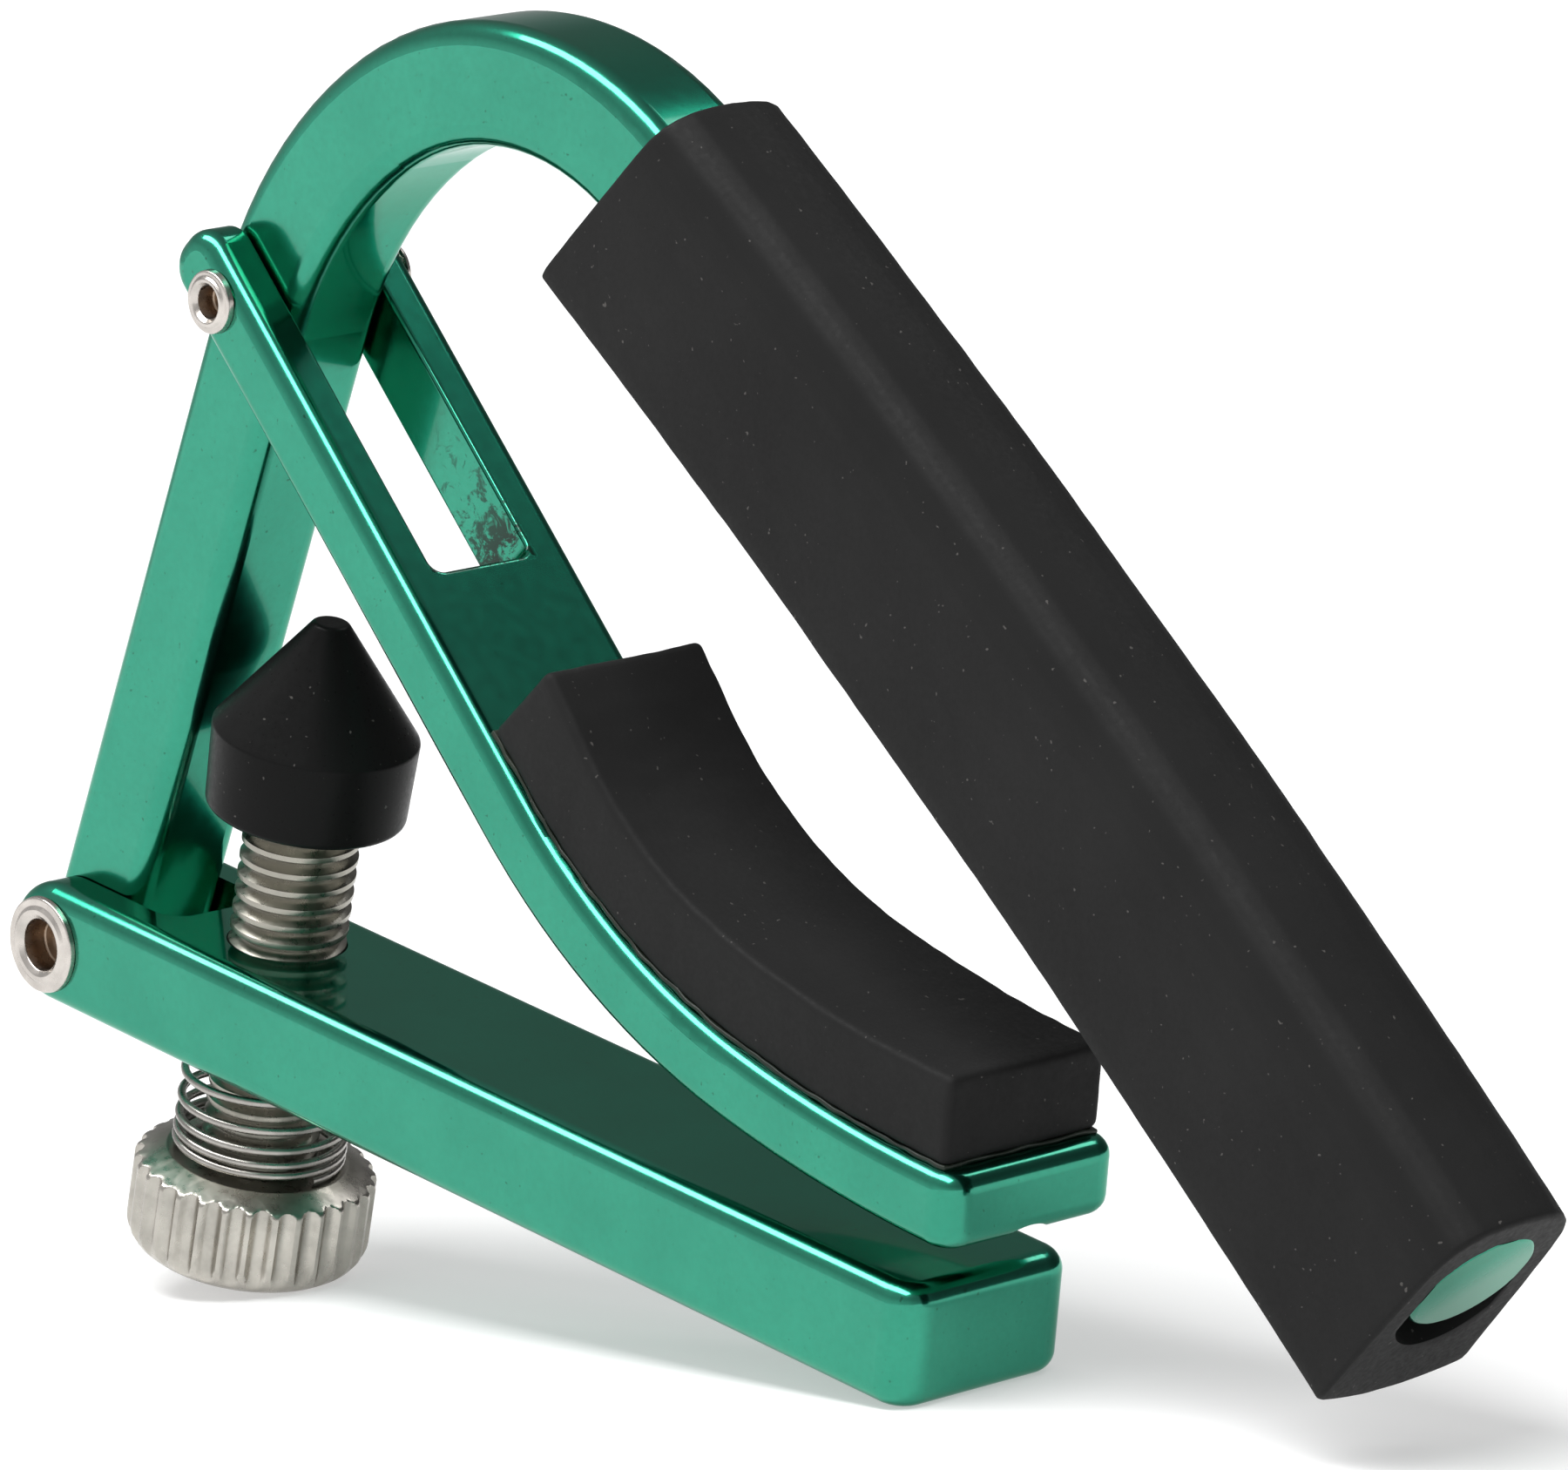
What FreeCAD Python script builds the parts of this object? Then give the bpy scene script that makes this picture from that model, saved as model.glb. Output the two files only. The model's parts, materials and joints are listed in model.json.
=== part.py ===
"""Lever-type guitar capo, standing on its thumbscrew head and the tip of its lever.

The side profile is laid out in the XZ plane with the lever pivot at (0, 0) and the lever
lying along +X.  The finished pieces are then turned about Y and lifted so that the capo
stands on the plane Z = 0 with the origin under the middle of its outline.  Millimetres.
"""

import FreeCAD, Part
import json
import math
import os

from FreeCAD import Placement, Rotation, Vector

# ---- driving dimensions -------------------------------------------------------------

# frame: one square bar bent like a cane
BAR_WIDTH = 5.0
BAR_DEPTH = 5.1
BAR_CORNER = 0.95
BAR_END_ROUND = 0.3
BAR_NOSE = (2.8, 3.0)      # its end is turned down to this radius over this length
LEG_LENGTH = 31.9          # lever pivot to arm pivot
LEG_HEADING = 74.8         # direction of the leg, measured from the lever
BEND_START = 31.0          # where the leg runs into the bend
BEND = ((19.3, 37.3), (14.3, 66.7))    # radius to the bar's middle, turn
STRING_RADIUS = 520.0      # gentle hollow of the string bar
STRING_LENGTH = 56.95

# rubber sleeve on the string bar; heights are from its own line, outwards
SLEEVE_LENGTH = 56.8
SLEEVE_LIFT = 0.5          # its line starts this far outside the bar's middle
SLEEVE_LEAN = 0.75         # and crosses over it by this many degrees
SLEEVE_ENDS = (-37.0, -34.5)         # directions its two ends are cut square to
SLEEVE_FOOT = -6.17        # corners of the string face
SLEEVE_CROWN = 0.6         # the string face bulges by this much
SLEEVE_FOOT_HALF = 3.95
SLEEVE_WAIST = (3.8, -2.3)           # half width and height of a point on its side
SLEEVE_HIP = (3.55, 1.4)             # where the side meets the rounded back
SLEEVE_BACK = ((3.25, 2.85), (2.0, 3.8), (0.0, 4.1))
SLEEVE_CORNER = 0.4
SLEEVE_RIM = 0.3
SLEEVE_BORE_SLACK = 0.75   # the bore is deeper than the bar on the string side

# swing arm
ARM_WIDTH = 9.4
ARM_THICK = 3.2
ARM_EAR = 3.1              # how far the ears pass the pivot
ARM_HEADING = -40.0
ARM_STRAIGHT = 25.4
ARM_BEND = (31.9, 29.2)    # radius, turn
ARM_TAIL_RADIUS = 68.0
ARM_LENGTH = 55.0          # arm pivot to tip, along the middle of the strip
ARM_CORNER = 0.8
ARM_EAR_CORNER = 1.4
ARM_TIP_CORNER = 1.3       # seen from above
ARM_SLOT_WIDTH = 5.2
ARM_SLOT_END = 15.0        # from the pivot
ARM_SLOT_CORNER = 0.6
ARM_SLOT_RIM = 0.2
ARM_GROOVE = (2.2, 0.45)   # radius and depth of the cap's guide groove, underneath
ARM_GROOVE_START = 18.0    # from the pivot

# rubber pad on the arm, and the glue that holds it
GLUE_THICK = 0.12
GLUE_START = 22.3
GLUE_END = 54.3
GLUE_WIDTH = 8.8
PAD_START = 22.6
PAD_END = 54.0
PAD_WIDTH = 8.4
PAD_CORNER = 0.5
PAD_TOP_START = 6.3        # arm middle to the top of the pad, at its upper end
PAD_TOP = 5.4              # the same, from the bend to the lower end
PAD_LEVEL_AT = 37.0        # where the pad reaches that even height

# locking lever
LEVER_WIDTH = 9.3
LEVER_THICK = 5.2
LEVER_LENGTH = 53.8        # pivot to tip
LEVER_CORNER = 0.9
LEVER_TIP_CORNER = 1.5     # seen from above
LEVER_SLOT_WIDTH = 5.2
LEVER_SLOT_END = 5.9
LEVER_SLOT_CORNER = 1.3

# semi-tubular rivets: shank, hollow, head radius, head height, depth of the hollow
LEVER_RIVET = (1.6, 1.15, 2.1, 0.38, 1.3)
ARM_RIVET = (1.1, 0.72, 1.35, 0.45, 1.0)
RIVET_RUNNING_FIT = 0.05   # radial clearance of the frame bar on a rivet

# thumbscrew, M5 with a coarse pitch; heights are along its axis from the lever's middle
SCREW_AT = 10.1            # where its axis crosses the lever's middle
SCREW_TILT = 5.5           # leans towards the lever's tip
THREAD_RADIUS = 2.5
THREAD_PITCH = 0.8
THREAD_DEPTH = 0.42
THREAD_FIT = 0.06          # radial clearance of the crests in the lever
ROD_END = 12.4
KNOB_RADIUS = 5.2
KNOB_TOP = -7.85
KNOB_HEIGHT = 4.0
KNOB_ROUND = 1.3
KNOB_RIM = 0.3
KNOB_SHOULDER_RADIUS = 3.9
KNOB_SHOULDER_HEIGHT = 0.55
FLUTES = 30
FLUTE_RADIUS = 0.42

# black cap on the end of the screw
CAP_BASE = 8.65
CAP_SHOULDER = 12.3
CAP_TOP = 17.25
CAP_BASE_RADIUS = 4.25
CAP_SHOULDER_RADIUS = 4.4
CAP_TIP_RADIUS = 0.75
CAP_BORE_DEPTH = 4.1
CAP_FIT = 0.06

# coil spring between the knob and the lever
SPRING_RADIUS = 3.55       # to the middle of the wire
SPRING_WIRE = 0.19         # radius of the wire
SPRING_TURNS = 5.0
SPRING_GAP = 0.05          # clearance at each end


# ---- plane geometry: a point is (x, z), a heading is in degrees from +X -----------------

def ahead(heading):
    """Unit vector along a heading."""
    a = math.radians(heading)
    return math.cos(a), math.sin(a)


def left(heading):
    """Unit vector to the left of a heading, which is the outer side of the frame."""
    a = math.radians(heading)
    return -math.sin(a), math.cos(a)


def shift(point, direction, distance):
    return point[0] + direction[0] * distance, point[1] + direction[1] * distance


def solid_point(point, y=0.0):
    return Vector(point[0], y, point[1])


class Track:
    """A centreline of straight runs and tangent arcs, measured by its length."""

    def __init__(self, start, heading):
        self.point = start
        self.heading = heading
        self.length = 0.0
        self.pieces = []

    def straight(self, length):
        self.pieces.append((self.length, length, self.point, self.heading, None))
        self.point = shift(self.point, ahead(self.heading), length)
        self.length += length
        return self

    def arc(self, radius, length):
        """A tangent arc; a positive radius turns left, a negative one turns right."""
        self.pieces.append((self.length, length, self.point, self.heading, radius))
        turned = self.heading + math.degrees(length / radius)
        centre = shift(self.point, left(self.heading), radius)
        self.point = shift(centre, left(turned), -radius)
        self.heading = turned
        self.length += length
        return self

    def at(self, s, offset=0.0):
        """Point at length s, moved left by offset, and the heading there."""
        piece = self.pieces[0]
        for candidate in self.pieces[1:]:
            if s >= candidate[0] - 1e-9:
                piece = candidate
        begin, _, point, heading, radius = piece
        if radius is None:
            place = shift(point, ahead(heading), s - begin)
            return shift(place, left(heading), offset), heading
        turned = heading + math.degrees((s - begin) / radius)
        centre = shift(point, left(heading), radius)
        return shift(centre, left(turned), offset - radius), turned

    def side(self, low, high, offset, y):
        """Edges of the track from low to high, moved left by offset, in the plane y."""
        edges = []
        for begin, length, _, _, radius in self.pieces:
            a = max(low, begin)
            b = min(high, begin + length)
            if b - a < 1e-6:
                continue
            ends = [solid_point(self.at(s, offset)[0], y) for s in (a + 1e-10, b - 1e-10)]
            if radius is None:
                edges.append(Part.LineSegment(*ends).toShape())
            else:
                middle = solid_point(self.at((a + b) / 2, offset)[0], y)
                edges.append(Part.Arc(ends[0], middle, ends[1]).toShape())
        return edges


def strip(track, low, high, over, under, width, round_start=False):
    """A bar along a track: over and under are its outer and inner sides."""
    y = -width / 2
    edges = track.side(low, high, over, y) + track.side(low, high, -under, y)
    for s, rounded in ((low, round_start), (high, False)):
        top = solid_point(track.at(s, over)[0], y)
        bottom = solid_point(track.at(s, -under)[0], y)
        if rounded:
            place, heading = track.at(s, (over - under) / 2)
            nose = solid_point(shift(place, ahead(heading), -(over + under) / 2), y)
            edges.append(Part.Arc(top, nose, bottom).toShape())
        else:
            edges.append(Part.LineSegment(top, bottom).toShape())
    outline = Part.Wire(Part.__sortEdges__(edges))
    return Part.Face(outline).extrude(Vector(0, width, 0))


# ---- solid helpers ----------------------------------------------------------------------

def side_edges(shape, width):
    """The edges that lie in the two side planes of a strip."""
    found = []
    for edge in shape.Edges:
        box = edge.BoundBox
        if box.YLength < 1e-4 and abs(abs(box.YMin) - width / 2) < 1e-4:
            found.append(edge)
    return found


def copies(shape, profile):
    """The edges of a strip that repeat edges of its side profile, in either side plane."""
    found = []
    for edge in shape.Edges:
        for model in profile:
            gap = edge.CenterOfMass - model.CenterOfMass
            if edge.BoundBox.YLength < 1e-4 and math.hypot(gap.x, gap.z) < 1e-3:
                found.append(edge)
    return found


def upright_edges(shape, point, width):
    """The two edges through a strip's end, one in each side plane."""
    found = []
    for edge in side_edges(shape, width):
        middle = edge.CenterOfMass
        if math.hypot(middle.x - point[0], middle.z - point[1]) < 0.05:
            found.append(edge)
    return found


def cross_edges(shape, points, tolerance=0.05):
    """The edges that run across a strip, through one of the given profile points."""
    found = []
    for edge in shape.Edges:
        box = edge.BoundBox
        if box.YLength < 0.5:
            continue
        for x, z in points:
            near = abs(box.Center.x - x) < tolerance and abs(box.Center.z - z) < tolerance
            if near and box.XLength < 0.01 and box.ZLength < 0.01:
                found.append(edge)
    return found


def cylinder_across(point, radius, length):
    """A cylinder along Y, centred on the middle plane."""
    base = solid_point(point, -length / 2)
    return Part.makeCylinder(radius, length, base, Vector(0, 1, 0))


def slot_cutter(track, low, high, width, corner, reach):
    """A block that cuts a slot through a strip, with rounded inner corners."""
    place, heading = track.at(low)
    block = Part.makeBox(high - low, width, 2 * reach, Vector(0, -width / 2, -reach))
    inner = [e for e in block.Edges if e.BoundBox.ZLength > reach and e.BoundBox.XMin > 1e-3]
    block = block.makeFillet(corner, inner)
    turn = Rotation(Vector(0, 1, 0), -heading)
    block.Placement = Placement(solid_point(place), turn)
    return block


def turned(profile, smooth=()):
    """A solid of revolution about Z from (radius, height) points, with rounded corners."""
    points = [Vector(r, 0, z) for r, z in profile]
    face = Part.Face(Part.makePolygon(points + points[:1]))
    solid = face.revolve(Vector(0, 0, 0), Vector(0, 0, 1), 360)
    for r, z, radius in smooth:
        rims = []
        for edge in solid.Edges:
            box = edge.BoundBox
            flat = box.ZLength < 1e-4 and abs(box.ZMin - z) < 1e-3
            if flat and abs(box.XMax - r) < 1e-3:
                rims.append(edge)
        solid = solid.makeFillet(radius, rims)
    return solid


def rivet(spec, grip):
    """A semi-tubular rivet along Y: a rolled hollow end at -Y, a solid oval head at +Y."""
    shank, hollow, head, height, depth = spec
    half = grip / 2
    flare = hollow + 0.55 * (head - hollow)
    profile = [
        (0, -half - height),
        (0.6 * head, -half - height),
        (head, -half - 0.35 * height),
        (head, -half),
        (shank, -half),
        (shank, half),
        (head, half),
        (head, half + height),
        (flare, half + height),
        (hollow, half),
        (hollow, half + height - depth),
        (0, half + height - depth),
    ]
    solid = turned(profile, [(head, half + height, 0.42 * height)])
    solid.rotate(Vector(0, 0, 0), Vector(1, 0, 0), 90)
    return solid


# ---- the layout -------------------------------------------------------------------------

LEVER_PIVOT = (0.0, 0.0)
ARM_PIVOT = shift(LEVER_PIVOT, ahead(LEG_HEADING), LEG_LENGTH)

FRAME_TRACK = Track(LEVER_PIVOT, LEG_HEADING).straight(BEND_START)
for bend_radius, bend_turn in BEND:
    FRAME_TRACK.arc(-bend_radius, math.radians(bend_turn) * bend_radius)
sleeve_start = shift(FRAME_TRACK.point, left(FRAME_TRACK.heading), SLEEVE_LIFT)
SLEEVE_TRACK = Track(sleeve_start, FRAME_TRACK.heading - SLEEVE_LEAN)
SLEEVE_TRACK.arc(-STRING_RADIUS, STRING_LENGTH)
FRAME_END = FRAME_TRACK.length + STRING_LENGTH
FRAME_TRACK.arc(-STRING_RADIUS, STRING_LENGTH + 10.0)

ear_start = shift(ARM_PIVOT, ahead(ARM_HEADING), -ARM_EAR)
bend_length = math.radians(ARM_BEND[1]) * ARM_BEND[0]
ARM_TRACK = Track(ear_start, ARM_HEADING)
ARM_TRACK.straight(ARM_EAR + ARM_STRAIGHT).arc(ARM_BEND[0], bend_length)
ARM_TRACK.arc(ARM_TAIL_RADIUS, ARM_LENGTH - ARM_STRAIGHT - bend_length)

LEVER_TRACK = Track(LEVER_PIVOT, 0.0)
LEVER_TRACK.straight(LEVER_LENGTH)

SCREW_FRAME = Placement(
    Vector(SCREW_AT, 0, 0), Rotation(Vector(0, 1, 0), SCREW_TILT)
)


def on_screw(solid):
    """Put a solid that was made about the Z axis onto the screw's axis."""
    solid.Placement = SCREW_FRAME.multiply(solid.Placement)
    return solid


# ---- the pieces -------------------------------------------------------------------------

def nose_trim(slack):
    """What turning takes off the bar's end.

    Slack gives the bore that the end sits in: deeper on the inner side, and running on.
    """
    radius, length = BAR_NOSE
    place, heading = FRAME_TRACK.at(FRAME_END)
    axis = solid_point(ahead(heading))
    start = solid_point(place) - axis * length
    reach = length + 8.0
    trim = Part.makeCylinder(2 * radius, reach, start, axis)
    if slack == 0:
        nose = Part.makeCylinder(radius, length, start, axis)
        rim = [e for e in nose.Edges if (e.CenterOfMass - solid_point(place)).Length < 1e-3]
        return trim.cut(nose.makeFillet(BAR_END_ROUND, rim))
    for drop in (0.0, slack):
        middle = start - solid_point(left(heading)) * drop
        trim = trim.cut(Part.makeCylinder(radius, reach, middle, axis))
    return trim


def bar_blank(end, slack=0.0):
    """The bar's full run as one rounded strip; slack deepens it on the inner side."""
    half = BAR_DEPTH / 2
    blank = strip(FRAME_TRACK, 0.0, end, half, half + slack, BAR_WIDTH, round_start=True)
    cap = FRAME_TRACK.at(end, -slack / 2)[0]
    long_edges = []
    for edge in side_edges(blank, BAR_WIDTH):
        if (edge.CenterOfMass - solid_point(cap, edge.CenterOfMass.y)).Length > 0.5:
            long_edges.append(edge)
    return blank.makeFillet(BAR_CORNER, long_edges).cut(nose_trim(slack))


def make_frame_bar():
    bar = bar_blank(FRAME_END + 1.0)
    for pivot, spec in ((LEVER_PIVOT, LEVER_RIVET), (ARM_PIVOT, ARM_RIVET)):
        bar = bar.cut(cylinder_across(pivot, spec[0] + RIVET_RUNNING_FIT, BAR_WIDTH + 2))
    return bar


def sleeve_section(place, heading):
    """The sleeve's outline across the bar: bulging foot, leaning sides, rounded back."""
    def at(half, height):
        x, z = shift(place, left(heading), height)
        return Vector(x, half, z)

    waist, hip = SLEEVE_WAIST, SLEEVE_HIP
    foot = (SLEEVE_FOOT_HALF, SLEEVE_FOOT)
    back = [hip] + list(SLEEVE_BACK)
    back += [(-half, height) for half, height in reversed(back[:-1])]
    crest = Part.BSplineCurve()
    crest.interpolate([at(*point) for point in back])
    bulge = at(0.0, SLEEVE_FOOT - SLEEVE_CROWN)
    edges = [crest.toShape(), Part.Arc(at(*foot), bulge, at(-foot[0], foot[1])).toShape()]
    for side in (1, -1):
        points = [at(side * half, height) for half, height in (foot, waist, hip)]
        edges.append(Part.Arc(*points).toShape())
    return Part.Face(Part.Wire(Part.__sortEdges__(edges)))


def make_string_sleeve():
    """A moulded tube that follows the string bar, with both ends cut square."""
    spare = 8.0
    place, heading = SLEEVE_TRACK.at(0.0)
    centre = solid_point(shift(place, left(heading), -STRING_RADIUS))
    tube = sleeve_section(place, heading)
    axis = Vector(0, 1, 0)
    tube.rotate(centre, axis, -math.degrees(spare / STRING_RADIUS))
    sweep = math.degrees((STRING_LENGTH + 2 * spare) / STRING_RADIUS)
    tube = tube.revolve(centre, axis, sweep)
    end = solid_point(FRAME_TRACK.at(FRAME_END)[0])
    upper, lower = SLEEVE_ENDS
    start = end - solid_point(ahead((upper + lower) / 2)) * SLEEVE_LENGTH
    reach = 2 * SLEEVE_LENGTH
    kept = Part.makeBox(reach, 40, 60, Vector(0, -20, -30))
    kept.Placement = Placement(start, Rotation(axis, -upper))
    tube = tube.common(kept)
    kept = Part.makeBox(reach, 40, 60, Vector(-reach, -20, -30))
    kept.Placement = Placement(end, Rotation(axis, -lower))
    tube = tube.common(kept)
    corners = []
    for edge in tube.Edges:
        box = edge.BoundBox
        if box.YLength < 0.5 and box.DiagonalLength > 0.8 * SLEEVE_LENGTH:
            if abs(box.Center.y) > SLEEVE_FOOT_HALF - 0.05:
                corners.append(edge)
    tube = tube.makeFillet(SLEEVE_CORNER, corners)
    squares = [solid_point(ahead(heading)) for heading in SLEEVE_ENDS]
    rims = []
    for face in tube.Faces:
        if max(abs(face.normalAt(0, 0).dot(square)) for square in squares) > 0.99999:
            rims += face.Edges
    tube = tube.makeFillet(SLEEVE_RIM, rims)
    return tube.cut(bar_blank(FRAME_END + 5.0, SLEEVE_BORE_SLACK))


def guide_groove():
    """The round-bottomed groove under the arm, as a solid to cut away."""
    radius, depth = ARM_GROOVE
    offset = depth - radius - ARM_THICK / 2
    start = ARM_EAR + ARM_GROOVE_START
    line = Part.Wire(Part.__sortEdges__(ARM_TRACK.side(start, ARM_TRACK.length, offset, 0.0)))
    place, heading = ARM_TRACK.at(start, offset)
    circle = Part.makeCircle(radius, solid_point(place), solid_point(ahead(heading)))
    run = line.makePipe(Part.Face(Part.Wire(circle)))
    return run.fuse(Part.makeSphere(radius, solid_point(place)))


def slot_rims(arm):
    """The edges round the arm's slot, on its upper and lower faces."""
    normal = solid_point(left(ARM_HEADING))
    found = []
    for edge in arm.Edges:
        box = edge.BoundBox
        height = (edge.CenterOfMass - solid_point(ARM_PIVOT)).dot(normal)
        on_face = abs(abs(height) - ARM_THICK / 2) < 1e-3
        if on_face and max(-box.YMin, box.YMax) < ARM_SLOT_WIDTH / 2 + 1e-3:
            found.append(edge)
    return found


def make_neck_arm():
    arm = strip(ARM_TRACK, 0.0, ARM_TRACK.length, ARM_THICK / 2, ARM_THICK / 2, ARM_WIDTH)
    offsets = (ARM_THICK / 2, -ARM_THICK / 2)
    ears = [ARM_TRACK.at(0.0, offset)[0] for offset in offsets]
    tips = [ARM_TRACK.at(ARM_TRACK.length, offset)[0] for offset in offsets]
    arm = arm.makeFillet(ARM_EAR_CORNER, cross_edges(arm, ears))
    end = ARM_TRACK.at(ARM_TRACK.length)[0]
    arm = arm.makeFillet(ARM_TIP_CORNER, upright_edges(arm, end, ARM_WIDTH))
    arm = arm.makeFillet(ARM_CORNER, side_edges(arm, ARM_WIDTH) + cross_edges(arm, tips))
    cutter = slot_cutter(
        ARM_TRACK, -2.0, ARM_EAR + ARM_SLOT_END, ARM_SLOT_WIDTH, ARM_SLOT_CORNER, ARM_THICK
    )
    arm = arm.cut(cutter)
    arm = arm.makeFillet(ARM_SLOT_RIM, slot_rims(arm))
    arm = arm.cut(guide_groove())
    return arm.cut(cylinder_across(ARM_PIVOT, ARM_RIVET[0], ARM_WIDTH + 2))


def make_pad_adhesive():
    top = ARM_THICK / 2 + GLUE_THICK
    return strip(
        ARM_TRACK, ARM_EAR + GLUE_START, ARM_EAR + GLUE_END, top, -ARM_THICK / 2, GLUE_WIDTH
    )


def easing_arc(start, end, heading):
    """The middle point of the arc from start that reaches end along the heading."""
    side = left(heading)
    gap = (start[0] - end[0], start[1] - end[1])
    radius = (gap[0] ** 2 + gap[1] ** 2) / (2 * (gap[0] * side[0] + gap[1] * side[1]))
    centre = shift(end, side, radius)
    spoke = ((start[0] + end[0]) / 2 - centre[0], (start[1] + end[1]) / 2 - centre[1])
    return shift(centre, spoke, abs(radius) / math.hypot(*spoke))


def make_neck_pad():
    """The pad's foot follows the arm; its top eases down to an even height."""
    low, level, high = (ARM_EAR + s for s in (PAD_START, PAD_LEVEL_AT, PAD_END))
    foot = ARM_THICK / 2 + GLUE_THICK
    y = -PAD_WIDTH / 2
    crest = ARM_TRACK.at(low, PAD_TOP_START)[0]
    join, heading = ARM_TRACK.at(level, PAD_TOP)
    halfway = easing_arc(crest, join, heading)
    ease = Part.Arc(solid_point(crest, y), solid_point(halfway, y), solid_point(join, y))
    top = [ease.toShape()] + ARM_TRACK.side(level, high, PAD_TOP, y)
    tail = ARM_TRACK.at(high, PAD_TOP)[0]
    ends = []
    for s, corner in ((low, crest), (high, tail)):
        base = solid_point(ARM_TRACK.at(s, foot)[0], y)
        ends.append(Part.LineSegment(base, solid_point(corner, y)).toShape())
    outline = ARM_TRACK.side(low, high, foot, y) + top + ends
    outline = Part.Wire(Part.__sortEdges__(outline))
    pad = Part.Face(outline).extrude(Vector(0, PAD_WIDTH, 0))
    return pad.makeFillet(PAD_CORNER, copies(pad, top) + cross_edges(pad, [crest, tail]))


def make_locking_lever():
    lever = strip(
        LEVER_TRACK, 0.0, LEVER_LENGTH, LEVER_THICK / 2, LEVER_THICK / 2, LEVER_WIDTH,
        round_start=True,
    )
    lever = lever.makeFillet(
        LEVER_TIP_CORNER, upright_edges(lever, (LEVER_LENGTH, 0.0), LEVER_WIDTH)
    )
    tips = [(LEVER_LENGTH, LEVER_THICK / 2), (LEVER_LENGTH, -LEVER_THICK / 2)]
    edges = side_edges(lever, LEVER_WIDTH) + cross_edges(lever, tips)
    lever = lever.makeFillet(LEVER_CORNER, edges)
    cutter = slot_cutter(
        LEVER_TRACK, 0.0, LEVER_SLOT_END, LEVER_SLOT_WIDTH, LEVER_SLOT_CORNER, LEVER_THICK
    )
    lever = lever.cut(cutter)
    clear_end = Part.makeBox(
        LEVER_THICK, LEVER_SLOT_WIDTH, 2 * LEVER_THICK,
        Vector(-LEVER_THICK, -LEVER_SLOT_WIDTH / 2, -LEVER_THICK),
    )
    lever = lever.cut(clear_end)
    lever = lever.cut(cylinder_across(LEVER_PIVOT, LEVER_RIVET[0], LEVER_WIDTH + 2))
    hole = Part.makeCylinder(
        THREAD_RADIUS + THREAD_FIT, 3 * LEVER_THICK, Vector(0, 0, -1.5 * LEVER_THICK)
    )
    return lever.cut(on_screw(hole))


def make_pivot_rivet(spec, pivot, grip):
    solid = rivet(spec, grip)
    solid.translate(solid_point(pivot))
    return solid


def make_thumbscrew():
    """Fluted head and threaded rod in one; the thread is drawn as rings at its pitch."""
    seat = KNOB_TOP + KNOB_SHOULDER_HEIGHT
    base = KNOB_TOP - KNOB_HEIGHT
    head = turned(
        [
            (0, base),
            (KNOB_RADIUS, base),
            (KNOB_RADIUS, KNOB_TOP),
            (KNOB_SHOULDER_RADIUS, seat),
            (0, seat),
        ],
        [(KNOB_RADIUS, base, KNOB_ROUND), (KNOB_RADIUS, KNOB_TOP, KNOB_RIM)],
    )
    cutters = []
    for k in range(FLUTES):
        a = 2 * math.pi * k / FLUTES
        reach = KNOB_RADIUS + 0.25 * FLUTE_RADIUS
        foot = Vector(reach * math.cos(a), reach * math.sin(a), base - 1)
        cutters.append(Part.makeCylinder(FLUTE_RADIUS, KNOB_HEIGHT + 4, foot))
    head = head.cut(Part.makeCompound(cutters))
    root = THREAD_RADIUS - THREAD_DEPTH
    rings = int((ROD_END - seat) / THREAD_PITCH) - 1
    profile = [(0, seat - 0.5), (root, seat - 0.5)]
    first = ROD_END - 0.5 - rings * THREAD_PITCH
    for k in range(rings):
        z = first + k * THREAD_PITCH
        profile.append((root, z))
        profile.append((THREAD_RADIUS, z + 0.35 * THREAD_PITCH))
        profile.append((THREAD_RADIUS, z + 0.55 * THREAD_PITCH))
        profile.append((root, z + 0.9 * THREAD_PITCH))
    profile += [(root, ROD_END), (0, ROD_END)]
    return on_screw(head.fuse(turned(profile)))


def make_pressure_tip():
    cap = turned(
        [
            (0, CAP_BASE),
            (CAP_BASE_RADIUS, CAP_BASE),
            (CAP_SHOULDER_RADIUS, CAP_SHOULDER),
            (CAP_TIP_RADIUS, CAP_TOP),
            (0, CAP_TOP),
        ],
        [
            (CAP_BASE_RADIUS, CAP_BASE, 0.4),
            (CAP_SHOULDER_RADIUS, CAP_SHOULDER, 0.5),
            (CAP_TIP_RADIUS, CAP_TOP, 0.35),
        ],
    )
    bore = Part.makeCylinder(
        THREAD_RADIUS + CAP_FIT, CAP_BORE_DEPTH + 1, Vector(0, 0, CAP_BASE - 1)
    )
    return on_screw(cap.cut(bore))


def make_screw_spring():
    """An open coil from the knob's shoulder to the underside of the lever."""
    foot = KNOB_TOP + KNOB_SHOULDER_HEIGHT + SPRING_WIRE + SPRING_GAP
    tilt_room = SPRING_RADIUS * math.tan(math.radians(SCREW_TILT))
    top = -LEVER_THICK / 2 - tilt_room - SPRING_WIRE - SPRING_GAP
    rise = (top - foot) / SPRING_TURNS
    steps_per_turn = 12
    points = []
    for k in range(int(SPRING_TURNS * steps_per_turn) + 1):
        turn = k / steps_per_turn
        a = 2 * math.pi * turn
        reach = Vector(SPRING_RADIUS * math.cos(a), SPRING_RADIUS * math.sin(a), 0)
        points.append(reach + Vector(0, 0, foot + rise * turn))
    line = Part.BSplineCurve()
    line.interpolate(points)
    along = line.tangent(line.FirstParameter)[0]
    wire = Part.Wire(Part.makeCircle(SPRING_WIRE, points[0], along))
    return on_screw(Part.Wire(line.toShape()).makePipeShell([wire], True, True))


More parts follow.
